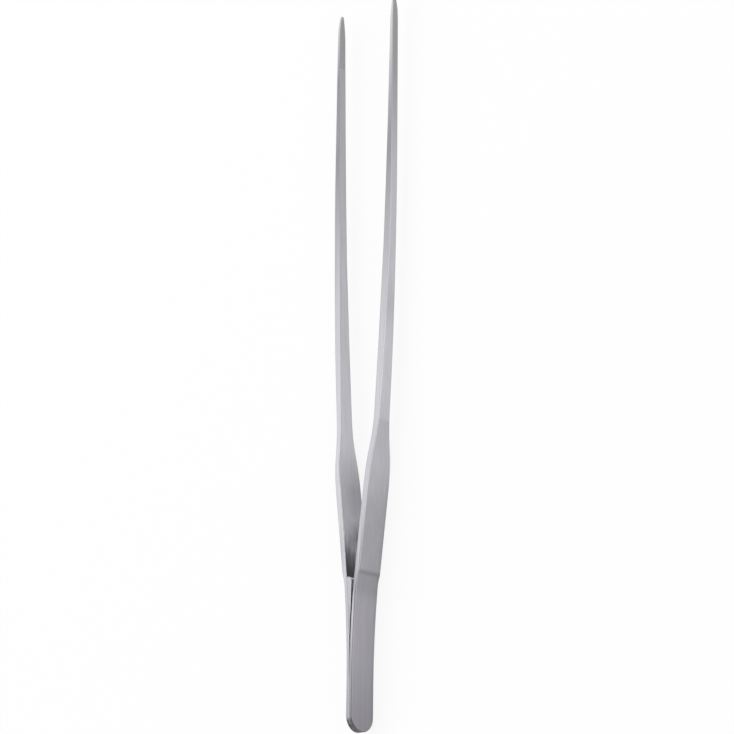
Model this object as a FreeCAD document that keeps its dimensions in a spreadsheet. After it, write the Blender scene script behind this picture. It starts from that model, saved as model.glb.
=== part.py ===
"""Thumb forceps: two sprung steel arms welded at the butt, with a spacer between them.

Frame, in millimetres: X is the way the arms spread, Y runs along them from the butt to
the tips, and Z is their width.  The forceps lie on the thin edges of the arms at Z = 0,
and the origin is the middle of that footprint.  The sketches are drawn with the butt at
Y = 0 on the mid-plane between the arms, and each piece's Placement moves it into the frame.
"""
import FreeCAD, Part
import math
import os
import Sketcher
from enum import IntEnum
from FreeCAD import Vector

# name, value in mm, meaning
DIMENSIONS = [
    ("overall_length", 250, "butt to tip"),
    ("arm_width", 9.9, "width of the spring and the grip"),
    ("weld_length", 16, "where the two arms are welded flat together"),
    ("spring_length", 40.6, "curved spring, from the weld to the straight grip"),
    ("spring_end_gap", 5.1, "between the inner faces at the spring's end"),
    ("spring_thickness", 1.35, "thin part of the arm"),
    ("shoulder_setback", 5.5, "from the top of the step on the outer face to the spring's end"),
    ("shoulder_ramp", 4.5, "length of that step's hollow slope"),
    ("grip_length", 22.4, "straight full-width grip, from the spring to the neck"),
    ("grip_thickness", 1.95, "thick part of the arm"),
    ("neck_length", 25.4, "from the grip to the shank, curving in and back"),
    ("shank_gap", 15.3, "between the inner faces where the shank starts"),
    ("shank_width", 5.1, "width of the arm there"),
    ("shank_thickness", 2.25, "thickness of the arm there"),
    ("slim_length", 90, "last stretch, where the width tapers less"),
    ("slim_width", 3.35, "width of the arm where it starts"),
    ("flat_length", 55, "last stretch, where the outer face is straight up to the nose"),
    ("jaw_length", 22, "straight inner face that grips, up to the tip"),
    ("tip_gap", 24.4, "between the inner faces at the tips"),
    ("nose_length", 10, "end of the blade, where it narrows to the tip"),
    ("nose_width", 2.75, "width where the nose starts"),
    ("nose_thickness", 1.0, "thickness where the nose starts"),
    ("tip_radius", 0.6, "round end of the tip, seen on the broad face"),
    ("tip_thickness", 0.45, "thickness at the very tip"),
    ("rim_bevel", 0.25, "bevel that breaks the outer edges"),
    ("serration_pitch", 0.8, "from one jaw groove to the next"),
    ("serration_width", 0.5, "width of a jaw groove"),
    ("serration_depth", 0.15, "depth of a jaw groove"),
    ("serration_start", 1.6, "from the tip to the middle of the first groove"),
    ("serration_run", 18, "stretch of the jaw with grooves"),
    ("spacer_setback", 6.9, "from the spacer's thick end to the spring's end"),
    ("spacer_length", 19.2, "thick end to thin end"),
    ("spacer_tail", 0.15, "thickness of the spacer's thin end"),
    ("spacer_clearance", 1.4, "between its flat free face and the right arm at the thick end"),
    ("spacer_corner", 1.2, "rounding of the spacer's free corner"),
    ("trim_margin", 1, "how far a cutting shape passes the metal"),
]

# name, formula, meaning: how far from the butt each change along the arm is
STATIONS = [
    ("spring_end", "weld_length + spring_length", "the curved spring becomes the straight grip"),
    ("shoulder", "spring_end - shoulder_setback", "top of the step on the outer face"),
    ("ramp_foot", "shoulder - shoulder_ramp", "bottom of that step"),
    ("grip_end", "spring_end + grip_length", "the grip becomes the neck"),
    ("neck_middle", "grip_end + neck_length / 2", "the neck's curve turns over"),
    ("shank_start", "grip_end + neck_length", "the neck becomes the shank"),
    ("slim_start", "overall_length - slim_length", "the taper of the width eases"),
    ("flat_start", "overall_length - flat_length", "the bowed outer face becomes straight"),
    ("jaw_start", "overall_length - jaw_length", "the bowed blade becomes the straight jaw"),
    ("nose_start", "overall_length - nose_length", "the blade starts to narrow to the tip"),
    ("spacer_nose", "spring_end - spacer_setback", "the spacer's thick end"),
]


class At(IntEnum):
    """How a sketch numbers the points of an element."""

    START = 1
    END = 2
    CENTRE = 3


class Reference(IntEnum):
    """How a sketch numbers its own axes and the first edge that it borrows."""

    HORIZONTAL_AXIS = -1
    VERTICAL_AXIS = -2
    BORROWED_EDGE = -3


ORIGIN = (Reference.HORIZONTAL_AXIS, At.START)
JOINT_TOLERANCE = 1e-6

# the x part of a face's outward normal: the outer face always has more than the first,
# the thin edges always have less than the second
OUTER_FACE_LEAN = 0.5
THIN_EDGE_LEAN = 0.1

doc = FreeCAD.newDocument("thumb_forceps")
sheet = doc.addObject("Spreadsheet::Sheet", "Dimensions")
rows = DIMENSIONS + [(name, f"={how}", meaning) for name, how, meaning in STATIONS]
for row, (name, value, meaning) in enumerate(rows, start=1):
    sheet.set(f"A{row}", name)
    sheet.set(f"B{row}", str(value))
    sheet.set(f"C{row}", meaning)
    sheet.setAlias(f"B{row}", name)
doc.recompute()
size = {name: float(sheet.get(name)) for name, value, meaning in rows}


def formula(text):
    """The formula with each of the sheet's names written the way the sheet is addressed."""
    return " ".join(f"Dimensions.{word}" if word in size else word for word in text.split())


def origin_feature(body, role):
    """One of the planes of a body's own origin."""
    return next(item for item in body.Origin.OriginFeatures if item.Role == role)


def new_sketch(body, name, plane):
    """An empty sketch on one of the body's origin planes."""
    sketch = body.newObject("Sketcher::SketchObject", name)
    sketch.AttachmentSupport = [(origin_feature(body, plane), "")]
    sketch.MapMode = "FlatFace"
    return sketch


def bind(sketch, constraint, text):
    """Adds a constraint whose value follows a formula."""
    index = sketch.addConstraint(constraint)
    sketch.setExpression(f"Constraints[{index}]", formula(text))


def dimension(sketch, kind, first, second, text):
    """A distance from one point of the sketch to another, bound to a formula.

    It starts at the distance as drawn, so that binding it moves the sketch only a little.
    """
    run = sketch.getPoint(*second) - sketch.getPoint(*first)
    drawn = run.x if kind == "DistanceX" else run.y
    bind(sketch, Sketcher.Constraint(kind, *first, *second, drawn), text)


def relate(sketch, kind, *where):
    """A constraint without a value, such as Vertical or Parallel."""
    sketch.addConstraint(Sketcher.Constraint(kind, *where))


def arc_leaving(start, heading, end):
    """The arc from start to end that leaves along heading, and the heading it arrives with.

    A heading is the angle from +Y towards +X, in radians.
    """
    chord = end - start
    chord_heading = math.atan2(chord.x, chord.y)
    half_turn = math.remainder(chord_heading - heading, 2 * math.pi)
    to_the_left = Vector(-chord.y, chord.x, 0).normalize()
    middle = start + chord / 2 + to_the_left * (chord.Length / 2 * math.tan(half_turn / 2))
    return Part.ArcOfCircle(start, middle, end), chord_heading + half_turn


class Outline:
    """A closed run of lines and arcs in a sketch, drawn end to end."""

    def __init__(self, sketch, start):
        self.sketch = sketch
        self.here = start
        self.heading = 0.0
        self.first = None
        self.last = None

    def add(self, shape, end, heading, tangent):
        """Draws one piece and joins it to the one before; returns its index, start and end."""
        index = self.sketch.addGeometry(shape, False)
        forward = (self.sketch.getPoint(index, At.START) - self.here).Length < JOINT_TOLERANCE
        near, far = (At.START, At.END) if forward else (At.END, At.START)
        if self.first is None:
            self.first = (index, near)
        else:
            relate(self.sketch, "Tangent" if tangent else "Coincident", *self.last, index, near)
        self.last = (index, far)
        self.here = end
        self.heading = heading
        return index, (index, near), (index, far)

    def line(self, end, tangent=False):
        """A straight piece to end."""
        run = end - self.here
        return self.add(Part.LineSegment(self.here, end), end, math.atan2(run.x, run.y), tangent)

    def arc(self, end, heading=None, tangent=True):
        """An arc to end that leaves along heading, or along the piece before it."""
        leaving = self.heading if heading is None else heading
        shape, arriving = arc_leaving(self.here, leaving, end)
        return self.add(shape, end, arriving, tangent)

    def close(self):
        """Joins the last piece to the first."""
        relate(self.sketch, "Coincident", *self.last, *self.first)


def construction_point(sketch, where):
    """A point that only helps to dimension the sketch."""
    return sketch.addGeometry(Part.Point(where), True), At.START


def draw_side_profile(sketch):
    """The arm seen along its width: the spring, the shoulder, the grip and the bowed blade.

    The blank runs past the butt and the tip, where the broad outline trims it.  Returns the
    index of the straight jaw line.
    """
    length, margin = size["overall_length"], size["trim_margin"]
    weld_y, spring_y, grip_y = size["weld_length"], size["spring_end"], size["grip_end"]
    ramp_y, shoulder_y = size["ramp_foot"], size["shoulder"]
    shank_y, flat_y = size["shank_start"], size["flat_start"]
    jaw_y, nose_y = size["jaw_start"], size["nose_start"]

    # where the inner face runs, and how it leans, before the sketch is solved
    spring_x, shank_x, tip_x = size["spring_end_gap"] / 2, size["shank_gap"] / 2, size["tip_gap"] / 2
    grip_lean = 2 * math.atan2(spring_x, spring_y - weld_y)
    grip_x = spring_x + math.tan(grip_lean) * (grip_y - spring_y)
    shank_lean = 2 * math.atan2(shank_x - grip_x, shank_y - grip_y) - grip_lean
    bow_run = (jaw_y - shank_y) / 2
    jaw_lean = (tip_x - shank_x - shank_lean * bow_run) / (size["jaw_length"] + bow_run)
    jaw_x = tip_x - jaw_lean * size["jaw_length"]
    spring_radius = (spring_y - weld_y) / math.sin(grip_lean)
    outer_radius = spring_radius - size["spring_thickness"]
    ramp_x = spring_radius - math.sqrt(outer_radius ** 2 - (ramp_y - weld_y) ** 2)
    grip_offset = size["grip_thickness"] / math.cos(grip_lean)
    shoulder_x = grip_x + grip_offset - math.tan(grip_lean) * (grip_y - shoulder_y)
    nose_x = tip_x + size["nose_thickness"]
    flat_x = nose_x - jaw_lean * (nose_y - flat_y) / 2
    past_tip_x = tip_x + size["tip_thickness"] * (1 - margin / size["nose_length"])

    outline = Outline(sketch, Vector(size["spring_thickness"], -margin, 0))
    outer_weld, butt_corner, _ = outline.line(Vector(size["spring_thickness"], weld_y, 0))
    outer_spring, _, ramp_foot = outline.arc(Vector(ramp_x, ramp_y, 0))
    _, _, shoulder = outline.arc(Vector(shoulder_x, shoulder_y, 0))
    outer_grip, _, outer_grip_end = outline.line(Vector(grip_x + grip_offset, grip_y, 0))
    _, _, outer_shank = outline.arc(Vector(shank_x + size["shank_thickness"], shank_y, 0))
    _, _, outer_flat = outline.arc(Vector(flat_x, flat_y, 0))
    _, _, nose = outline.line(Vector(nose_x, nose_y, 0), tangent=True)
    nose_arc, _, past_tip = outline.arc(Vector(past_tip_x, length + margin, 0))
    end_line, _, _ = outline.line(Vector(tip_x, length + margin, 0))
    jaw, _, jaw_root = outline.line(Vector(jaw_x, jaw_y, 0))
    _, _, shank = outline.arc(Vector(shank_x, shank_y, 0), math.pi + jaw_lean)
    _, _, grip_root = outline.arc(Vector(grip_x, grip_y, 0), math.pi + shank_lean)
    inner_grip, _, spring_tip = outline.line(Vector(spring_x, spring_y, 0), tangent=True)
    inner_spring, _, weld_tip = outline.arc(Vector(0, weld_y, 0), math.pi + grip_lean)
    inner_weld, _, _ = outline.line(Vector(0, -margin, 0), tangent=True)
    butt_line, _, _ = outline.line(Vector(size["spring_thickness"], -margin, 0))
    outline.close()

    relate(sketch, "Vertical", outer_weld)
    relate(sketch, "Horizontal", butt_line)
    relate(sketch, "Horizontal", end_line)
    relate(sketch, "PointOnObject", *weld_tip, Reference.VERTICAL_AXIS)
    relate(sketch, "Vertical", inner_weld)
    relate(sketch, "Coincident", outer_spring, At.CENTRE, inner_spring, At.CENTRE)
    relate(sketch, "Parallel", outer_grip, inner_grip)

    dimension(sketch, "DistanceY", butt_corner, ORIGIN, "trim_margin")
    dimension(sketch, "DistanceX", ORIGIN, butt_corner, "spring_thickness")
    dimension(sketch, "DistanceY", ORIGIN, weld_tip, "weld_length")
    dimension(sketch, "DistanceY", ORIGIN, spring_tip, "spring_end")
    dimension(sketch, "DistanceX", ORIGIN, spring_tip, "spring_end_gap / 2")
    dimension(sketch, "DistanceY", ORIGIN, ramp_foot, "ramp_foot")
    dimension(sketch, "DistanceY", ORIGIN, shoulder, "shoulder")
    across_grip = Sketcher.Constraint("Distance", *shoulder, inner_grip, size["grip_thickness"])
    bind(sketch, across_grip, "grip_thickness")
    dimension(sketch, "DistanceY", ORIGIN, grip_root, "grip_end")
    dimension(sketch, "DistanceY", ORIGIN, outer_grip_end, "grip_end")
    dimension(sketch, "DistanceY", ORIGIN, shank, "shank_start")
    dimension(sketch, "DistanceX", ORIGIN, shank, "shank_gap / 2")
    dimension(sketch, "DistanceY", ORIGIN, outer_shank, "shank_start")
    dimension(sketch, "DistanceX", shank, outer_shank, "shank_thickness")
    dimension(sketch, "DistanceY", ORIGIN, outer_flat, "flat_start")
    dimension(sketch, "DistanceY", ORIGIN, jaw_root, "jaw_start")
    dimension(sketch, "DistanceY", ORIGIN, nose, "nose_start")
    dimension(sketch, "DistanceY", ORIGIN, past_tip, "overall_length + trim_margin")

    inner_tip = construction_point(sketch, Vector(tip_x, length, 0))
    relate(sketch, "PointOnObject", *inner_tip, jaw)
    dimension(sketch, "DistanceY", ORIGIN, inner_tip, "overall_length")
    dimension(sketch, "DistanceX", ORIGIN, inner_tip, "tip_gap / 2")
    dimension(sketch, "DistanceX", inner_tip, nose, "nose_thickness")
    outer_tip = construction_point(sketch, Vector(tip_x + size["tip_thickness"], length, 0))
    relate(sketch, "PointOnObject", *outer_tip, nose_arc)
    dimension(sketch, "DistanceY", ORIGIN, outer_tip, "overall_length")
    dimension(sketch, "DistanceX", inner_tip, outer_tip, "tip_thickness")
    return jaw


def draw_butt_trim(sketch):
    """What the round butt end leaves off on one side, seen on the broad face."""
    half_width, margin = size["arm_width"] / 2, size["trim_margin"]
    outline = Outline(sketch, Vector(0, 0, 0))
    butt_arc, middle, side = outline.arc(Vector(half_width, half_width, 0), 0.0)
    _, _, above = outline.line(Vector(half_width, half_width + margin, 0))
    top, _, far = outline.line(Vector(-margin, half_width + margin, 0))
    below, _, _ = outline.line(Vector(-margin, 0, 0))
    base, _, _ = outline.line(Vector(0, 0, 0))
    outline.close()
    relate(sketch, "Coincident", *middle, *ORIGIN)
    relate(sketch, "PointOnObject", butt_arc, At.CENTRE, Reference.HORIZONTAL_AXIS)
    relate(sketch, "Vertical", butt_arc, At.CENTRE, *side)
    relate(sketch, "Vertical", *side, *above)
    relate(sketch, "Horizontal", top)
    relate(sketch, "Vertical", below)
    relate(sketch, "Horizontal", base)
    dimension(sketch, "DistanceY", ORIGIN, side, "arm_width / 2")
    dimension(sketch, "DistanceY", side, above, "trim_margin")
    dimension(sketch, "DistanceX", far, ORIGIN, "trim_margin")


def draw_blade_trim(sketch):
    """What the neck and the slim, tapering blade leave off on one side."""
    beyond_y, margin = size["overall_length"] + size["trim_margin"], size["trim_margin"]
    grip_y, neck_y, shank_y = size["grip_end"], size["neck_middle"], size["shank_start"]
    slim_y, nose_y = size["slim_start"], size["nose_start"]
    side, shank = size["arm_width"] / 2, size["shank_width"] / 2
    slim, nose = size["slim_width"] / 2, size["nose_width"] / 2

    # how fast the half width falls, before the sketch is solved
    taper_fall = (shank - slim) / (slim_y - shank_y)
    neck_fall = 2 * (side - shank) / size["neck_length"] - taper_fall / 2
    neck = side - neck_fall * size["neck_length"] / 4
    beyond = nose - (slim - nose) / (nose_y - slim_y) * (beyond_y - nose_y)

    outline = Outline(sketch, Vector(grip_y, side, 0))
    grip_arc, grip_corner, neck_middle = outline.arc(Vector(neck_y, neck, 0), math.pi / 2)
    _, _, neck_end = outline.arc(Vector(shank_y, shank, 0))
    _, _, slim_root = outline.line(Vector(slim_y, slim, 0), tangent=True)
    slim_line, _, past_tip = outline.line(Vector(beyond_y, beyond, 0))
    end_line, _, _ = outline.line(Vector(beyond_y, side + margin, 0))
    top, _, over_grip = outline.line(Vector(grip_y, side + margin, 0))
    start_line, _, _ = outline.line(Vector(grip_y, side, 0))
    outline.close()
    nose_root = construction_point(sketch, Vector(nose_y, nose, 0))
    relate(sketch, "PointOnObject", *nose_root, slim_line)
    relate(sketch, "Vertical", grip_arc, At.CENTRE, *grip_corner)
    relate(sketch, "Vertical", end_line)
    relate(sketch, "Horizontal", top)
    relate(sketch, "Vertical", start_line)
    dimension(sketch, "DistanceX", ORIGIN, grip_corner, "grip_end")
    dimension(sketch, "DistanceY", ORIGIN, grip_corner, "arm_width / 2")
    dimension(sketch, "DistanceX", ORIGIN, neck_middle, "neck_middle")
    dimension(sketch, "DistanceX", ORIGIN, neck_end, "shank_start")
    dimension(sketch, "DistanceY", ORIGIN, neck_end, "shank_width / 2")
    dimension(sketch, "DistanceX", ORIGIN, slim_root, "slim_start")
    dimension(sketch, "DistanceY", ORIGIN, slim_root, "slim_width / 2")
    dimension(sketch, "DistanceX", ORIGIN, nose_root, "nose_start")
    dimension(sketch, "DistanceY", ORIGIN, nose_root, "nose_width / 2")
    dimension(sketch, "DistanceX", ORIGIN, past_tip, "overall_length + trim_margin")
    dimension(sketch, "DistanceY", grip_corner, over_grip, "trim_margin")


def draw_nose_trim(sketch):
    """What the nose, ground down to a small round tip, leaves off on one side."""
    length, margin = size["overall_length"], size["trim_margin"]
    slim_y, nose_y = size["slim_start"], size["nose_start"]
    slim, nose, tip = size["slim_width"] / 2, size["nose_width"] / 2, size["tip_radius"]
    slim_fall = (slim - nose) / (nose_y - slim_y)
    tip_turn = 2 * (nose - tip) / (size["nose_length"] - tip) - slim_fall
    tip_joint = Vector(length - tip + tip * math.sin(tip_turn), tip * math.cos(tip_turn), 0)

    # the blade's side, which the nose leaves smoothly
    blade = Part.LineSegment(Vector(slim_y, slim, 0), Vector(nose_y, nose, 0))
    blade_side = sketch.addGeometry(blade, True)
    outline = Outline(sketch, Vector(nose_y, nose, 0))
    _, nose_root, _ = outline.arc(tip_joint, math.pi / 2 + math.atan(slim_fall))
    tip_arc, _, tip_end = outline.arc(Vector(length, 0, 0))
    axis_line, _, beyond = outline.line(Vector(length + margin, 0, 0))
    end_line, _, _ = outline.line(Vector(length + margin, nose + margin, 0))
    top, _, over_root = outline.line(Vector(nose_y, nose + margin, 0))
    start_line, _, _ = outline.line(Vector(nose_y, nose, 0))
    outline.close()
    relate(sketch, "Tangent", blade_side, At.END, *nose_root)
    relate(sketch, "PointOnObject", tip_arc, At.CENTRE, Reference.HORIZONTAL_AXIS)
    relate(sketch, "PointOnObject", *tip_end, Reference.HORIZONTAL_AXIS)
    relate(sketch, "Horizontal", axis_line)
    relate(sketch, "Vertical", end_line)
    relate(sketch, "Horizontal", top)
    relate(sketch, "Vertical", start_line)
    dimension(sketch, "DistanceX", ORIGIN, (blade_side, At.START), "slim_start")
    dimension(sketch, "DistanceY", ORIGIN, (blade_side, At.START), "slim_width / 2")
    dimension(sketch, "DistanceX", ORIGIN, nose_root, "nose_start")
    dimension(sketch, "DistanceY", ORIGIN, nose_root, "nose_width / 2")
    dimension(sketch, "DistanceX", ORIGIN, tip_end, "overall_length")
    dimension(sketch, "DistanceX", (tip_arc, At.CENTRE), tip_end, "tip_radius")
    dimension(sketch, "DistanceX", tip_end, beyond, "trim_margin")
    dimension(sketch, "DistanceY", nose_root, over_root, "trim_margin")


def draw_jaw_groove(sketch, side_profile, jaw):
    """One V-shaped groove across the jaw, near the tip, and the line that the grooves follow."""
    length, start = size["overall_length"], size["serration_start"]
    half_width, depth, margin = size["serration_width"] / 2, size["serration_depth"], size["trim_margin"]
    sketch.addExternal(side_profile.Name, f"Edge{jaw + 1}")
    face = size["tip_gap"] / 2
    middle = length - start

    row = sketch.addGeometry(Part.LineSegment(
        Vector(face, length, 0), Vector(face, length - size["jaw_length"], 0)), True)
    relate(sketch, "PointOnObject", row, At.START, Reference.BORROWED_EDGE)
    relate(sketch, "PointOnObject", row, At.END, Reference.BORROWED_EDGE)
    dimension(sketch, "DistanceY", ORIGIN, (row, At.START), "overall_length")
    dimension(sketch, "DistanceY", ORIGIN, (row, At.END), "jaw_start")
    centre = construction_point(sketch, Vector(face, middle, 0))
    relate(sketch, "PointOnObject", *centre, row)
    dimension(sketch, "DistanceY", centre, (row, At.START), "serration_start")

    outline = Outline(sketch, Vector(face, middle - half_width, 0))
    _, root_side, bottom = outline.line(Vector(face + depth, middle, 0))
    _, _, tip_side = outline.line(Vector(face, middle + half_width, 0))
    upper, _, above = outline.line(Vector(face - margin, middle + half_width, 0))
    outer, _, _ = outline.line(Vector(face - margin, middle - half_width, 0))
    lower, _, _ = outline.line(Vector(face, middle - half_width, 0))
    outline.close()
    relate(sketch, "PointOnObject", *root_side, row)
    relate(sketch, "PointOnObject", *tip_side, row)
    relate(sketch, "Horizontal", *centre, *bottom)
    relate(sketch, "Horizontal", upper)
    relate(sketch, "Horizontal", lower)
    relate(sketch, "Vertical", outer)
    dimension(sketch, "DistanceX", centre, bottom, "serration_depth")
    dimension(sketch, "DistanceY", root_side, centre, "serration_width / 2")
    dimension(sketch, "DistanceY", centre, tip_side, "serration_width / 2")
    dimension(sketch, "DistanceX", above, tip_side, "trim_margin")


def pocket_through(body, name, sketch):
    """A pocket that goes right through the body, both ways from its sketch."""
    pocket = body.newObject("PartDesign::Pocket", name)
    pocket.Profile = sketch
    pocket.SideType = "Symmetric"
    pocket.Type = "ThroughAll"
    return pocket


def cut_through(body, name, draw):
    """A cut through the broad face, to the outline that draw puts into its sketch."""
    sketch = new_sketch(body, f"{name}Outline", "YZ_Plane")
    draw(sketch)
    return pocket_through(body, name, sketch)


def mirror_over(body, name, features):
    """The same cuts again on the other side of the arm's width."""
    mirrored = body.newObject("PartDesign::Mirrored", name)
    mirrored.Originals = features
    mirrored.MirrorPlane = (origin_feature(body, "XY_Plane"), [""])
    body.Tip = mirrored
    return mirrored


def outer_rim(shape):
    """Names of the edges along the arm between its outer face and its thin edges."""
    names = []
    for number, edge in enumerate(shape.Edges, start=1):
        leans = []
        for face in shape.ancestorsOfType(edge, Part.Face):
            u_low, u_high, v_low, v_high = face.ParameterRange
            leans.append(face.normalAt((u_low + u_high) / 2, (v_low + v_high) / 2).x)
        on_rim = max(leans) > OUTER_FACE_LEAN and min(leans) < THIN_EDGE_LEAN
        runs_along = edge.BoundBox.YLength > JOINT_TOLERANCE
        if on_rim and runs_along:
            names.append(f"Edge{number}")
    return names


def build_arm(label, half_turns):
    """One sprung arm: a strip bent to the side profile, trimmed to its outline and finished.

    Both arms are the same piece of work.  The left one is turned half round its length.
    """
    body = doc.addObject("PartDesign::Body", label)
    side_profile = new_sketch(body, "SideProfile", "XY_Plane")
    jaw = draw_side_profile(side_profile)
    strip = body.newObject("PartDesign::Pad", "Strip")
    strip.Profile = side_profile
    strip.SideType = "Symmetric"
    strip.setExpression("Length", formula("arm_width"))

    round_butt = cut_through(body, "RoundButt", draw_butt_trim)
    slim_blade = cut_through(body, "SlimBlade", draw_blade_trim)
    both_sides = mirror_over(body, "BothSides", [round_butt, slim_blade])
    doc.recompute()
    broken_rim = body.newObject("PartDesign::Chamfer", "BrokenRim")
    broken_rim.Base = (both_sides, outer_rim(both_sides.Shape))
    broken_rim.setExpression("Size", formula("rim_bevel"))
    nose = cut_through(body, "Nose", draw_nose_trim)
    mirror_over(body, "WholeNose", [nose])

    groove_sketch = new_sketch(body, "JawGroove", "XY_Plane")
    draw_jaw_groove(groove_sketch, side_profile, jaw)
    groove = pocket_through(body, "Groove", groove_sketch)
    doc.recompute()
    grooves = body.newObject("PartDesign::LinearPattern", "Grooves")
    grooves.Originals = [groove]
    grooves.Direction = (groove_sketch, ["Axis0"])
    grooves.Mode = "Spacing"
    grooves.setExpression("Offset", formula("serration_pitch"))
    grooves.setExpression("Occurrences", formula("floor( serration_run / serration_pitch ) + 1"))
    body.Tip = grooves

    body.Placement.Rotation = FreeCAD.Rotation(Vector(0, 1, 0), 180 * half_turns)
    place(body)
    return body


def draw_spacer(sketch):
    """The wedge seen along its width: seated on the left arm, with a flat free face."""
    weld_y, spring_y, spring_x = size["weld_length"], size["spring_end"], size["spring_end_gap"] / 2
    nose_y, radius = size["spacer_nose"], size["spacer_corner"]
    tail_y = nose_y - size["spacer_length"]
    spring_radius = (spring_y - weld_y) / math.sin(2 * math.atan2(spring_x, spring_y - weld_y))

    def face_x(y):
        """How far an arm's inner face stands from the mid-plane at y."""
        return spring_radius - math.sqrt(spring_radius ** 2 - (y - weld_y) ** 2)

    # where the free face would end without the rounded corner, and how it leans
    full_nose = Vector(face_x(nose_y) - size["spacer_clearance"], nose_y, 0)
    free_tail = Vector(size["spacer_tail"] - face_x(tail_y), tail_y, 0)
    free_lean = math.atan2(full_nose.x - free_tail.x, full_nose.y - free_tail.y)
    setback = radius * math.tan(math.pi / 4 + free_lean / 2)
    corner_start = full_nose - Vector(setback, 0, 0)
    corner_end = full_nose - Vector(math.sin(free_lean), math.cos(free_lean), 0) * setback

    # the inner faces of the two arms, which the spacer is fitted to
    weld = Vector(0, weld_y, 0)
    faces = []
    for side in (-1, 1):
        face, _ = arc_leaving(weld, 0.0, Vector(side * spring_x, spring_y, 0))
        face = sketch.addGeometry(face, True)
        starts_at_weld = (sketch.getPoint(face, At.START) - weld).Length < JOINT_TOLERANCE
        root, tip = (At.START, At.END) if starts_at_weld else (At.END, At.START)
        relate(sketch, "PointOnObject", face, root, Reference.VERTICAL_AXIS)
        relate(sketch, "Horizontal", face, root, face, At.CENTRE)
        dimension(sketch, "DistanceY", ORIGIN, (face, root), "weld_length")
        dimension(sketch, "DistanceY", ORIGIN, (face, tip), "spring_end")
        across = ((face, tip), ORIGIN) if side < 0 else (ORIGIN, (face, tip))
        dimension(sketch, "DistanceX", *across, "spring_end_gap / 2")
        faces.append(face)
    left_face, right_face = faces

    outline = Outline(sketch, Vector(-face_x(tail_y), tail_y, 0))
    seat_heading = -math.asin((tail_y - weld_y) / spring_radius)
    seat, seat_tail, seat_nose = outline.arc(Vector(-face_x(nose_y), nose_y, 0), seat_heading)
    nose_line, _, _ = outline.line(corner_start)
    corner, _, _ = outline.arc(corner_end)
    free_line, _, tail_corner = outline.line(free_tail, tangent=True)
    tail_line, _, _ = outline.line(Vector(-face_x(tail_y), tail_y, 0))
    outline.close()
    relate(sketch, "Coincident", seat, At.CENTRE, left_face, At.CENTRE)
    relate(sketch, "PointOnObject", *seat_nose, left_face)
    relate(sketch, "Horizontal", nose_line)
    relate(sketch, "Horizontal", tail_line)
    dimension(sketch, "DistanceY", ORIGIN, seat_nose, "spacer_nose")
    dimension(sketch, "DistanceY", seat_tail, seat_nose, "spacer_length")
    dimension(sketch, "DistanceX", seat_tail, tail_corner, "spacer_tail")
    bind(sketch, Sketcher.Constraint("Radius", corner, radius), "spacer_corner")

    # the clearance is measured level with the thick end
    nose_corner = construction_point(sketch, full_nose)
    beside_nose = construction_point(sketch, Vector(face_x(nose_y), nose_y, 0))
    relate(sketch, "PointOnObject", *nose_corner, free_line)
    relate(sketch, "PointOnObject", *nose_corner, nose_line)
    relate(sketch, "PointOnObject", *beside_nose, right_face)
    relate(sketch, "Horizontal", *nose_corner, *beside_nose)
    dimension(sketch, "DistanceX", nose_corner, beside_nose, "spacer_clearance")


def place(body):
    """Moves a piece from where it is drawn to the frame of the whole forceps."""
    body.setExpression(".Placement.Base.y", formula("- overall_length / 2"))
    body.setExpression(".Placement.Base.z", formula("arm_width / 2"))


def build_spacer():
    """The filler wedge, as wide as the arms, welded to the left arm's inner face."""
    body = doc.addObject("PartDesign::Body", "spacer")
    side_profile = new_sketch(body, "SpacerProfile", "XY_Plane")
    draw_spacer(side_profile)
    wedge = body.newObject("PartDesign::Pad", "Wedge")
    wedge.Profile = side_profile
    wedge.SideType = "Symmetric"
    wedge.setExpression("Length", formula("arm_width"))
    place(body)
    return body


sub_parts = [build_arm("left_arm", 1), build_arm("right_arm", 0), build_spacer()]
doc.recompute()

for item in doc.Objects:
    if "Invalid" in item.State or "Error" in item.State:
        raise RuntimeError(f"{item.Label} did not compute: {item.State}")
for body in sub_parts:
    if body.Shape.isNull() or not body.Shape.isValid() or len(body.Shape.Solids) != 1:
        raise RuntimeError(f"{body.Label} is not one sound solid")

os.makedirs("parts", exist_ok=True)
for body in sub_parts:
    body.Shape.exportStep(f"parts/{body.Label}.step")
    box = body.Shape.optimalBoundingBox(True, False)
    sides = f"{box.XLength:.2f} x {box.YLength:.2f} x {box.ZLength:.2f} mm"
    print(f"{body.Label}: {body.Shape.Volume:.1f} mm3, {sides}")
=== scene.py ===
# %% [markdown]
# # Thumb forceps, lying on their edges
#
# A long pair of spring-steel thumb forceps. Two arms are welded at a round butt, stand
# apart along flat grips, and run up as slim bowed blades to fine tips. A small wedge, the
# spacer, is welded to one arm and fills the fork between them, a little above the weld.
#
# The three pieces come from CAD with their true shapes. This script gives them what CAD
# doesn't have: a finish, a floor, light and a camera. Blender's lengths are metres. X is
# the way the arms spread, Y runs along them to the tips, and Z points up from the floor,
# across the arms' width. The steel's own sizes are in millimetres from the butt.

import math

import bpy
from mathutils import Matrix, Vector


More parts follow.
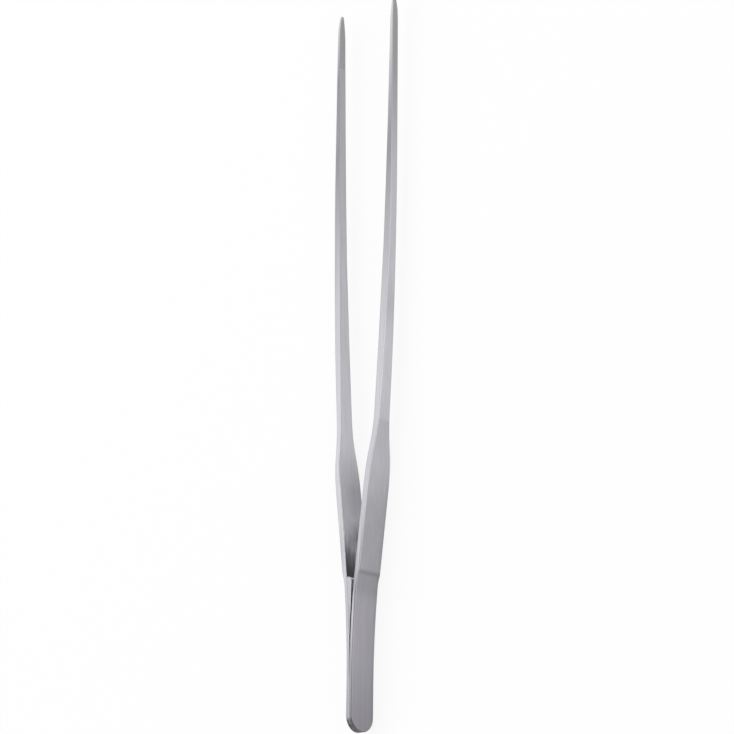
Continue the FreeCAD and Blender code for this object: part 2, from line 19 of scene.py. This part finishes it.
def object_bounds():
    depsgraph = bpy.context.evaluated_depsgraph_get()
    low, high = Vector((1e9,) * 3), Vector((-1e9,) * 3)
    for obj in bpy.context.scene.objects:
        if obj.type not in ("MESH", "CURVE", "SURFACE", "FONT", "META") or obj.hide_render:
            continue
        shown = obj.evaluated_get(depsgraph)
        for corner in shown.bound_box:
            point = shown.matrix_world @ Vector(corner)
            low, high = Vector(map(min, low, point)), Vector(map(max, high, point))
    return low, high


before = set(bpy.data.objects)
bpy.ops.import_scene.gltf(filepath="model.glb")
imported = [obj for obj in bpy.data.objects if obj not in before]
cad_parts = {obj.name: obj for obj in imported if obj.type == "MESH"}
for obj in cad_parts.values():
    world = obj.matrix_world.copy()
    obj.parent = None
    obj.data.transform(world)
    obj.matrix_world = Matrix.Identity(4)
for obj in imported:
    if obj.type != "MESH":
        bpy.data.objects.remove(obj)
bpy.context.view_layer.update()
cad_low, cad_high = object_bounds()
print("frame:", sorted(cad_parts), [round(v, 4) for v in cad_high - cad_low])

# %% [markdown]
# ## The camera
#
# In the photo the forceps stand upright, seen from a little below the middle and turned
# so that the outer face of one arm and the thin edges of both show. Forceps can't stand
# by themselves, so here they lie, and the camera looks down at the same faces.
#
# A camera could be moved about until the picture looks right. This one was fitted to the
# outline in the photo instead, and three angles describe it: how far it is turned round
# the forceps' length, how far it is tipped towards the butt, and a slight roll. A long
# lens from 0.9 m away gives the photo's flat perspective.

# %% Which way the camera looks
TURN = math.radians(44.5)
TIP = math.radians(-16.9)
ROLL = math.radians(0.66)

to_camera = Vector((math.sin(TURN) * math.cos(TIP), math.sin(TIP), math.cos(TURN) * math.cos(TIP)))
level = Vector((math.cos(TURN), 0, -math.sin(TURN)))
above = to_camera.cross(level)
right = level * math.cos(ROLL) + above * math.sin(ROLL)
up = above * math.cos(ROLL) - level * math.sin(ROLL)
print("the camera looks along", [round(-v, 3) for v in to_camera])

# %% Place the camera
PHOTO_SIDE = 734
FOCAL_PIXELS = 2729
SENSOR_MM = 36
DISTANCE = 0.9
AIM_RIGHT = 0.00108
AIM_UP = -0.0039

camera_data = bpy.data.cameras.new("camera")
camera_data.sensor_width = SENSOR_MM
camera_data.lens = SENSOR_MM * FOCAL_PIXELS / PHOTO_SIDE
camera_data.clip_start = 0.01
camera_data.clip_end = 20
camera = bpy.data.objects.new("camera", camera_data)
bpy.context.collection.objects.link(camera)

middle = Vector((0, 0, (cad_low.z + cad_high.z) / 2))
aim = middle + level * AIM_RIGHT + above * AIM_UP
axes = Matrix((right, up, to_camera)).transposed().to_4x4()
camera.matrix_world = Matrix.Translation(aim + to_camera * DISTANCE) @ axes
bpy.context.scene.camera = camera
bpy.context.scene.view_settings.view_transform = "Standard"
print("camera:", [round(v, 3) for v in camera.matrix_world.translation], round(camera_data.lens, 1), "mm")

# %% [markdown]
# ## Shader nodes written as sums
#
# A material in Blender is a graph of nodes. It could be wired by hand in the node editor,
# but the finish of this steel is mostly arithmetic on where a point lies and which way it
# faces, and a sum is easier to read than a page of Math nodes. So one small class wraps
# the output of a node, and every +, - or * on it adds a Math node. A second class adds all
# the other kinds of node, and knows the tree that they go into.

# %% A class that writes Math nodes as sums
class Wire:
    """One output of a node. Sums on it add Math nodes."""

    def __init__(self, maker, socket):
        self.maker = maker
        self.socket = socket

    def _math(self, operation, *values, clamp=False):
        return self.maker.node("ShaderNodeMath", {"operation": operation, "use_clamp": clamp}, values)

    def __add__(self, other):
        return self._math("ADD", self, other)

    __radd__ = __add__

    def __sub__(self, other):
        return self._math("SUBTRACT", self, other)

    def __rsub__(self, other):
        return self._math("SUBTRACT", other, self)

    def __mul__(self, other):
        return self._math("MULTIPLY", self, other)

    __rmul__ = __mul__

    def __abs__(self):
        return self._math("ABSOLUTE", self)

    def at_least(self, lowest):
        """The value itself, or lowest where it is less than that."""
        return self._math("MAXIMUM", self, lowest)

    def rises(self, low, high):
        """0 below low, 1 above high, and a straight ramp between; high may be the lower one."""
        scale = 1 / (high - low)
        return self._math("MULTIPLY_ADD", self, scale, -low * scale, clamp=True)

    def within(self, start, full, fading, end):
        """0 before start, 1 from full to fading, and 0 again after end."""
        return self.rises(start, full) * self.rises(end, fading)

    def bump(self, middle, reach):
        """1 at middle, falling to 0 within reach on both sides."""
        return abs(self - middle).rises(reach, 0)


print("a Wire has:", [name for name in vars(Wire) if not name.startswith("_")])


# %% A class that adds every other node
class Shader:
    """The node tree of a material or of the world."""

    def __init__(self, owner):
        owner.use_nodes = True
        self.tree = owner.node_tree
        self.tree.nodes.clear()

    def node(self, kind, settings=None, inputs=(), output=0):
        """Adds a node: its settings first, then its sockets by place or by name."""
        made = self.tree.nodes.new(kind)
        for name, value in (settings or {}).items():
            if name == "stops":
                self._set_stops(made.color_ramp, value)
            else:
                setattr(made, name, value)
        named = inputs.items() if isinstance(inputs, dict) else enumerate(inputs)
        for key, value in named:
            if isinstance(value, Wire):
                self.tree.links.new(value.socket, made.inputs[key])
            else:
                made.inputs[key].default_value = value
        return Wire(self, made.outputs[output]) if made.outputs else None

    def ray(self, kind):
        """1 for rays that come from the camera, or from steel or glass that shows this."""
        return self.node("ShaderNodeLightPath", None, (), f"Is {kind} Ray")

    def _set_stops(self, ramp, stops):
        """Gives a colour ramp its grey stops, as (place, grey), joined by a smooth curve."""
        ramp.interpolation = "B_SPLINE"
        while len(ramp.elements) < len(stops):
            ramp.elements.new(1)
        for element, (place, grey) in zip(ramp.elements, stops):
            element.position = place
            element.color = (grey, grey, grey, 1)


def new_shader(name):
    """An empty material and the writer of its nodes."""
    material = bpy.data.materials.new(name)
    return material, Shader(material)


print("a Shader has:", [name for name in vars(Shader) if not name.startswith("_")])

# %% [markdown]
# ## The floor
#
# The photo's ground is plain white. A floor could be lit until it turns white, but so much
# light would wash out the steel as well. So the floor is a pale matt board, large enough
# that none of its sides shows, and it is partly plain white paper to the rays of the
# camera and to those that steel or glass sends on. The part that is left is a real
# surface, and keeps a faint shadow of the forceps.

# %% The floor
def add_floor(side, grey, plain_to_eye, plain_to_steel):
    """A matt board whose plain white shows to the camera and in the steel."""
    bpy.ops.object.select_all(action="DESELECT")
    bpy.ops.mesh.primitive_plane_add(size=side, location=(0, 0, 0))
    floor = bpy.context.active_object
    floor.name = "floor"
    material, board = new_shader("matt white board")
    matt = board.node("ShaderNodeBsdfDiffuse", None, {"Color": (grey, grey, grey, 1)})
    plain = board.node("ShaderNodeEmission", None, {"Color": (1, 1, 1, 1), "Strength": 1})
    seen = board.ray("Glossy") * plain_to_steel + board.ray("Transmission") * plain_to_steel
    seen = seen + board.ray("Camera") * plain_to_eye
    shown = board.node("ShaderNodeMixShader", None, [seen, matt, plain])
    board.node("ShaderNodeOutputMaterial", None, [shown])
    floor.data.materials.append(material)
    return floor


floor = add_floor(side=6.0, grey=0.93, plain_to_eye=0.84, plain_to_steel=0.60)
print("floor:", floor.dimensions.x, "m")

# %% [markdown]
# ## The light
#
# Steel shows what is round it, so the light makes half of its look. Small lamps would
# leave sharp glints, and the photo has none. So there is one large soft box above and to
# the left, and a weaker one behind the camera, as in a studio, and both stand in a pale
# room. The room is plain white to the camera and in the steel, but it lights the forceps a
# little less than that, so that the lamps still bring out their form.

# %% The soft boxes
def add_soft_box(name, place, side, watts):
    """A square lamp that faces the forceps."""
    lamp = bpy.data.lights.new(name, "AREA")
    lamp.size = side
    lamp.energy = watts
    box = bpy.data.objects.new(name, lamp)
    bpy.context.collection.objects.link(box)
    box.location = place
    box.rotation_euler = (-Vector(place)).to_track_quat("-Z", "Y").to_euler()
    return box


add_soft_box("key soft box", place=(-1.0, 0.5, 1.3), side=2.0, watts=13)
add_soft_box("fill soft box", place=(1.3, -0.2, 1.2), side=1.6, watts=6)

# %% The pale room
ROOM_LIGHT = 0.7

world = bpy.data.worlds.new("pale room")
bpy.context.scene.world = world
room = Shader(world)
seen = room.ray("Camera") + room.ray("Glossy") + room.ray("Transmission")
strength = ROOM_LIGHT + seen * (1 - ROOM_LIGHT)
air = room.node("ShaderNodeBackground", None, {"Color": (1, 1, 1, 1), "Strength": strength})
room.node("ShaderNodeOutputWorld", None, [air])
print("the room's light:", ROOM_LIGHT, "on the forceps, and 1 to the camera and in the steel")

# %% [markdown]
# ## Satin steel
#
# The arms are stamped from stainless strip, and their broad faces are brushed along their
# length before they are bent. The brush leaves hair-fine lines that spread a reflection
# across the arm. The thin edges come from a grinding belt, so they have a grey of their own,
# and the bevels between the two carry a painted highlight. The grey isn't even along the
# arm either: the blades are worked on a finer wheel than the grips, welding heat dulls the
# butt, and the greys along the arm also carry painted shade and light.
#
# All of this could be painted as pictures, but then each arm would need its own. Here it
# is worked out from where a point lies and which way it faces, so both arms share one
# material, and the lines stay sharp at any distance.

# %% Where a point lies on the steel, and which way it faces
LENGTH = (cad_high.y - cad_low.y) * 1000
BUTT = cad_low.y
SOFT_EDGE = 0.0004


class Spot:
    """The shaded point: millimetres across, along and up, and masks for the side it is on."""

    def __init__(self, steel):
        self.steel = steel
        self.at = steel.node("ShaderNodeTexCoord", None, (), "Object")
        self.facing = steel.node("ShaderNodeBevel", {"samples": 6}, {"Radius": SOFT_EDGE})
        self.across = self.part(self.at, "X") * 1000
        self.along = (self.part(self.at, "Y") - BUTT) * 1000
        self.height = self.part(self.at, "Z") * 1000
        # how far the surface faces the butt, and how far it faces up or down
        self.butt_ward = self.part(self.facing, "Y") * -1
        self.up = abs(self.part(self.facing, "Z"))
        # 1 on the left arm, on thin edges, and wherever the surface doesn't face outwards
        self.left = self.across.rises(0.2, -0.2)
        self.edge = abs(self.part(self.facing, "X")).rises(0.85, 0.5)
        self.inward = (self.across * self.part(self.facing, "X")).rises(0.4, 0)
        # 1 on the broad faces alone
        self.outer_face = (1 - self.edge) * (1 - self.inward)
        self.inner_face = (1 - self.edge) * self.inward

    def part(self, vector, axis):
        """One of the three numbers of a vector."""
        return self.steel.node("ShaderNodeSeparateXYZ", None, [vector], axis)


print("steel is", round(LENGTH), "mm long, from Y =", round(BUTT, 4))


# %% Greys that change along the arm
def grey_along(spot, greys):
    """A grey read from (millimetres from the butt, grey). Adding 0 turns a colour into a number."""
    stops = [(place / LENGTH, grey) for place, grey in greys]
    return spot.steel.node("ShaderNodeValToRGB", {"stops": stops}, [spot.along * (1 / LENGTH)]) + 0


# scorched butt, spring, grip, polished neck, first blade, a dull patch, blade, jaws; partly finish,
# partly painted shade and light along the arm
FACE_GREYS = [(0, 0.26), (24, 0.405), (68, 0.36), (87, 0.52), (128, 0.605), (139, 0.485), (152, 0.56),
              (192, 0.51), (222, 0.325), (250, 0.325)]
# gap, dark crotch (painted shade), bright foot of the grip (painted light), grip, neck, blade, jaws
INNER_GREYS = [(41, 0.75), (48, 0.22), (57, 0.20), (61, 0.78), (68, 0.64), (77, 0.51), (90, 0.565),
               (110, 0.565), (130, 0.535), (185, 0.45), (222, 0.40), (250, 0.375)]
# scorched butt, spring, grip, neck, blade, a dull stretch, bright jaws; partly the belt's finish, partly
# painted shade and reflection along the edge
EDGE_GREYS = [(0, 0.15), (26, 0.275), (60, 0.32), (105, 0.35), (146, 0.325), (187, 0.18), (205, 0.16),
              (236, 0.38), (250, 0.38)]


def worked_and_painted_grey(spot):
    """The grey that each kind of work left, with painted shade and light along the arm: brush outside,
    brush inside, belt on the edges.
    """
    outward = grey_along(spot, FACE_GREYS) * (1 - spot.inward)
    inward = grey_along(spot, INNER_GREYS) * spot.inward
    return (outward + inward) * (1 - spot.edge) + grey_along(spot, EDGE_GREYS) * spot.edge


print("greys along the arm:", len(FACE_GREYS), len(INNER_GREYS), len(EDGE_GREYS))


# %% Hair-fine brush lines
def brush_lines(spot, per_metre, length_share, detail):
    """Noise drawn out along Y: fine lines across, long ones along."""
    scale = (per_metre, per_metre * length_share, per_metre)
    lines = spot.steel.node("ShaderNodeMapping", None, {"Vector": spot.at, "Scale": scale})
    return spot.steel.node("ShaderNodeTexNoise", None, {"Vector": lines, "Scale": 1, "Detail": detail})


def brushed(spot, grey, hair, hairs=0.14, streaks=0.24, crotch_streaks=1.1):
    """The grey with fine hairs and broader streaks, which are strongest deep in the fork."""
    streak = brush_lines(spot, per_metre=1600, length_share=0.012, detail=2)
    crotch = spot.inward * spot.along.rises(72, 56)
    grey = grey * (1 + (streak - 0.5) * (streaks + crotch * crotch_streaks))
    return grey * (1 + (hair - 0.5) * hairs)


print("brush lines: long noise in Object coordinates")

# %% [markdown]
# ## Painted shade at the step on the outer faces, and a coarser neck
#
# A wheel cuts the step on the outside of each arm. Painted shade draws a dark line across
# the face over the step, and a darker band below it where the face leans, down to the thin
# spring. A second, fainter line crosses the face where the blade's finer finish starts, and the neck
# below it is coarser.
#
# Strips of another material would have hard borders, and the mesh would have to be cut
# along them. So each mark is a mask, worked out for every point: a number that says how
# much of its grey the mark takes away there.

# %% Marks across the outer faces
SHOULDER = 51.0
FINE_START = 101


def shoulder_painted_shade(spot, line_darker=0.24, band_darker=0.13):
    """Painted shade: the dark line over the step, and the darker band that leads down from it."""
    line = spot.along.bump(SHOULDER, 1.1)
    band = spot.along.within(SHOULDER - 9, SHOULDER - 5, SHOULDER - 0.5, SHOULDER + 0.5)
    return (line * line_darker + band * band_darker) * spot.outer_face


def coarse_neck(spot, darker=0.13):
    """The coarser neck, which ends in a line where the finer finish starts."""
    neck = spot.along.within(84, 99, FINE_START - 0.6, FINE_START + 0.6)
    return neck * spot.outer_face * darker


print("shoulder line at", SHOULDER, "mm, finer blade from", FINE_START, "mm")

# %% [markdown]
# ## Edges and rims
#
# The thin edges are ground on a belt, by hand, and no two come out alike. Painted shade
# makes the right arm's edge a shade darker than the left's, and the left arm's darker near
# its tip. On the right arm, painted shade gives the outer part of the edge the broad face's
# grey from the butt to the grip, so the bright edge looks narrower there. Painted shade also
# darkens the lower rim of the outer faces up to the neck, and the corner inside the left
# blade. The bevels elsewhere carry a painted highlight.
#
# The rims could be modelled as narrow faces, but they are finer than the CAD's bevels.
# Masks find them by their place or by the way they face: the Bevel node turns the
# direction smoothly round every corner, so a corner is where it points half outwards.

# %% The line of the arms' inner faces
WELD_END = 16
SPRING_END = 56.6
SPRING_RADIUS = 324.7


def inner_line(spot):
    """How far an arm's inner face has spread from the middle: an arc, then straight up the grip."""
    past_weld = (spot.along - WELD_END).at_least(0)
    past_spring = (spot.along - SPRING_END).at_least(0)
    return (past_weld * past_weld - past_spring * past_spring) * (0.5 / SPRING_RADIUS)


print("the arms part from", WELD_END, "mm, and run straight from", SPRING_END, "mm")

# %% The right arm's outer edge zone, which gets painted shade
SPRING_THICKNESS = 1.35
GRIP_THICKNESS = 1.95
STEP_FOOT = 46.6
STEP_TOP = 51.1
RIGHT_EDGE_PAINTED_SHADE = 0.34


def right_edge_shade_zone(spot):
    """1 on the right arm's outer rim along the spring, fading out up the grip: the zone that painted
    shade darkens.
    """
    step = spot.along.rises(STEP_FOOT, STEP_TOP) * (GRIP_THICKNESS - SPRING_THICKNESS)
    outer_line = inner_line(spot) + step + SPRING_THICKNESS
    return (spot.across - outer_line).rises(-0.65, -0.45) * spot.along.rises(72, 42)


print("steel:", SPRING_THICKNESS, "mm thick below the step,", GRIP_THICKNESS, "mm above it")


# %% Painted shade on edges, rims and a corner, and a painted highlight on the bevels
def edge_painted_shade(spot, right_darker=0.08, left_darker=0.50):
    """Painted shade: the right arm's edge a shade darker, and the left arm's darker near its tip."""
    near_tip = spot.along.bump(225, 23)
    return ((1 - spot.left) * right_darker + spot.left * near_tip * left_darker) * spot.edge


def far_rim_painted_shade(spot, darker=0.12):
    """Painted shade on the lower rim of the outer faces, up to the neck."""
    return spot.height.rises(1.5, 0.4) * spot.along.rises(86, 78) * spot.outer_face * darker


def inner_corner_painted_shade(spot, darker=0.35):
    """Painted shade on the corner between the left blade's edge and its inner face."""
    corner = spot.left * spot.inward * spot.up.bump(0.62, 0.5)
    return corner * (spot.along.bump(200, 36) + spot.along.bump(138, 46) * 0.5) * darker


def bevel_painted_highlight(spot, edge_shade_zone, lighter=0.10):
    """The painted highlight added to the grey of the bevels, except in the right arm's shaded outer edge
    zone.
    """
    return spot.up.bump(0.72, 0.35) * (1 - edge_shade_zone) * lighter


# the dull edges and corners are painted shade, and the worn bevels a painted highlight
print("rims: dull edges and corners, worn bevels")

# %% [markdown]
# ## Inside the fork
#
# Down between the grips the lower half of the inner faces is darker and the crotch is nearly
# black, and the upper rim of the insides is bright. The render's own shadows give part of
# this, but in the photo it is stronger than light alone makes it, so the steel itself carries
# the rest: painted shade below, and a painted highlight along the upper rim.

# %% Painted shade on the fork's lower half, and a painted highlight on its upper rim
def fork_shade(spot, crotch_darker=0.45, grips_darker=0.32):
    """Painted shade on the lower half of the insides along the grips, darkest at the crotch."""
    low = spot.height.rises(9.7, 3.5)
    crotch = spot.along.bump(63, 7)
    grips = spot.along.within(57, 61, 80, 96)
    return spot.inner_face * low * (crotch * crotch_darker + grips * grips_darker)


def inner_rim_painted_highlight(spot, lighter=0.45):
    """The painted highlight added to the grey of the upper rim of the insides along the grips."""
    return spot.inner_face * spot.height.rises(9.3, 9.6) * spot.along.within(46, 50, 80, 88) * lighter


# dull below is painted shade, and the worn upper rim a painted highlight
print("fork: dull below, worn along its upper rim")

# %% [markdown]
# ## The weld, the butt and the jaws
#
# The two arms meet in a narrow groove above the weld, and painted shade keeps it dark. The
# round end of the butt is darker: partly heat scale from the weld, in uneven blotches, and
# partly painted shade where the end turns away, with a pit above a painted glint. The weld's
# heat has left a breath of violet on the steel near it. The walls of the grooves across the
# jaws are darker as well, and the steel there is plain grey, without the cool tint of the rest.
#
# The groove could be cut into the CAD, but here it is colour alone, painted shade, and so is
# the glint on the butt.

# %% Painted shade in the weld's groove, and the darker butt
def groove_painted_shade(spot, darker=0.7):
    """Painted shade in the narrow groove where the arms' sharp inner edges part above the weld."""
    near_middle = abs(spot.across).rises(0.42, 0.10)
    return near_middle * spot.along.rises(WELD_END - 1, WELD_END + 5) * spot.edge * darker


def scaled_and_shaded_end(spot, all_round=0.18, at_weld=0.30, blotches=0.24, in_pit=0.25, glint_lighter=0.36):
    """How much darker the round end of the butt is made: heat scale in blotches, painted shade where it
    turns away, a pit, and a painted glint below the pit.
    """
    end = spot.butt_ward.rises(0.10, 0.45) * spot.along.rises(6, 3)
    near_weld = spot.across.rises(1.3, 0.2)
    scale = spot.steel.node("ShaderNodeTexNoise", None, {"Vector": spot.at, "Scale": 650, "Detail": 1})
    pit = spot.along.bump(3.7, 0.9)
    glint = spot.along.bump(2.5, 0.7)
    marks = at_weld + scale.rises(0.75, 0.40) * blotches + pit * in_pit - glint * glint_lighter
    return end * (all_round + near_weld * marks)


# the groove's darkness is painted shade, and the end's darkening partly so
print("weld: a groove from", WELD_END, "mm up, and a scaled end")


# %% The jaws' grooves and the tint
def darker_jaw_grooves(spot, darker=0.5):
    """The walls of the jaw grooves, which alone face along the arm up there."""
    walls = abs(spot.butt_ward).rises(0.25, 0.60) * spot.along.rises(226, 230)
    return walls * spot.inward.rises(0.5, 1) * darker


LESS_GREEN = 0.015
MORE_BLUE = 0.05
PLAIN_FROM = 230
LEFT_PLAIN_LATER = 14


def tinted(spot, grey, violet_green=0.022, violet_blue=0.02):
    """The grey as a colour: cool, a little violet near the weld, and plain at the tips."""
    cool = (spot.along - spot.left * LEFT_PLAIN_LATER).rises(PLAIN_FROM, PLAIN_FROM - 8)
    heat = spot.along.rises(60, 5)
    green = grey * (1 - cool * LESS_GREEN - heat * violet_green)
    blue = grey * (1 + cool * MORE_BLUE + heat * violet_blue)
    return spot.steel.node("ShaderNodeCombineColor", None, [grey, green, blue])


print("plain grey tips from", PLAIN_FROM, "mm, on the left arm from", PLAIN_FROM + LEFT_PLAIN_LATER)

# %% [markdown]
# ## The arms' steel, put together
#
# All the marks, most of them painted shade, are now taken from the grey one after another, and
# then the painted highlights and the brush are put on. The result is the colour of a metal. It
# could be one long sum, but with a name for each mark, one can be left out to see what it does.
# The brush's hairs also make the gloss uneven and lean the surface a little, which softens a reflection.

# %% The arms' steel
def make_arm_steel():
    """Stainless strip: brushed faces, belt-ground edges, painted highlights on the bevels, darker weld
    ends, painted shade.
    """
    material, steel = new_shader("brushed arm steel")
    spot = Spot(steel)
    hair = brush_lines(spot, per_metre=9000, length_share=0.02, detail=3)
    edge_shade_zone = right_edge_shade_zone(spot)
    # most of these marks are painted shade: at the step, in the weld's groove, on edges, rims and
    # corners, and in the fork
    marks = [coarse_neck(spot), shoulder_painted_shade(spot), groove_painted_shade(spot), edge_painted_shade(spot)]
    marks += [edge_shade_zone * spot.edge * RIGHT_EDGE_PAINTED_SHADE, far_rim_painted_shade(spot), darker_jaw_grooves(spot), fork_shade(spot)]

    grey = worked_and_painted_grey(spot)
    for mark in marks:
        grey = grey * (1 - mark)
    # then painted highlights on the insides' upper rim and on the bevels, painted shade at the inner
    # corner, and the darker butt end
    grey = brushed(spot, grey + inner_rim_painted_highlight(spot), hair) + bevel_painted_highlight(spot, edge_shade_zone)
    grey = grey * (1 - inner_corner_painted_shade(spot)) * (1 - scaled_and_shaded_end(spot))

    lean = steel.node("ShaderNodeBump", None, {
        "Height": hair,
        "Strength": 0.12,
        "Distance": 0.00002,
        "Normal": spot.facing,
    })
    body = steel.node("ShaderNodeBsdfPrincipled", None, {
        "Base Color": tinted(spot, grey),
        "Metallic": 1,
        "Roughness": 0.36 + (hair - 0.5) * 0.15,
        "Normal": lean,
    })
    steel.node("ShaderNodeOutputMaterial", None, [body])
    return material


arm_steel = make_arm_steel()
for name in ("left_arm", "right_arm"):
    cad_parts[name].data.materials[0] = arm_steel
print("brushed steel on both arms:", len(arm_steel.node_tree.nodes), "nodes")

# %% [markdown]
# ## The spacer's steel
#
# The spacer is a scrap of the same steel, filed to a wedge and welded in, then ground flush
# with the arms' edges. It is never brushed, so it keeps short file strokes across its
# width and a slightly mottled grey. It is a shade darker where it is welded to the left
# arm, and towards its thin end.
#
# It could share the arms' material, but then it would look brushed along with them, and
# it is by its different finish that the eye sees it as a piece of its own.

# %% The spacer's steel
SPACER_GREY = 0.95


def filed_grey(spot, mottle, stroke, edge_darker=0.635, seam_darker=0.22, thin_end_darker=0.25):
    """Filed steel: mottled, with short strokes, darker on its edge, seam and thin end."""
    seam = (spot.across + inner_line(spot)).rises(0.30, 0.05)
    thin_end = spot.along.rises(42, 34)
    grey = SPACER_GREY - spot.edge * edge_darker + (mottle - 0.5) * 0.10 + (stroke - 0.5) * 0.06
    return grey * (1 - seam * seam_darker) * (1 - thin_end * thin_end_darker)


def make_spacer_steel():
    """Filed steel, with its strokes across the spacer's width."""
    material, steel = new_shader("filed spacer steel")
    spot = Spot(steel)
    strokes = steel.node("ShaderNodeMapping", None, {"Vector": spot.at, "Scale": (900, 5200, 900)})
    stroke = steel.node("ShaderNodeTexNoise", None, {"Vector": strokes, "Scale": 1, "Detail": 2})
    mottle = steel.node("ShaderNodeTexNoise", None, {"Vector": spot.at, "Scale": 450, "Detail": 2})
    grey = filed_grey(spot, mottle, stroke)
    parts = [grey, grey * (1 - LESS_GREEN), grey * (1 + MORE_BLUE)]
    lean = steel.node("ShaderNodeBump", None, {
        "Height": stroke,
        "Strength": 0.2,
        "Distance": 0.00003,
        "Normal": spot.facing,
    })
    body = steel.node("ShaderNodeBsdfPrincipled", None, {
        "Base Color": steel.node("ShaderNodeCombineColor", None, parts),
        "Metallic": 1,
        "Roughness": 0.42 + (mottle - 0.5) * 0.2,
        "Normal": lean,
    })
    steel.node("ShaderNodeOutputMaterial", None, [body])
    return material


spacer_steel = make_spacer_steel()
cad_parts["spacer"].data.materials[0] = spacer_steel
print("filed steel on the spacer:", len(spacer_steel.node_tree.nodes), "nodes")

# %% [markdown]
# ## Sizes, and the end
#
# The finish changes no shape, so the box round the finished forceps has to be the box that
# came from CAD.

# %% Update the scene
bpy.context.view_layer.update()
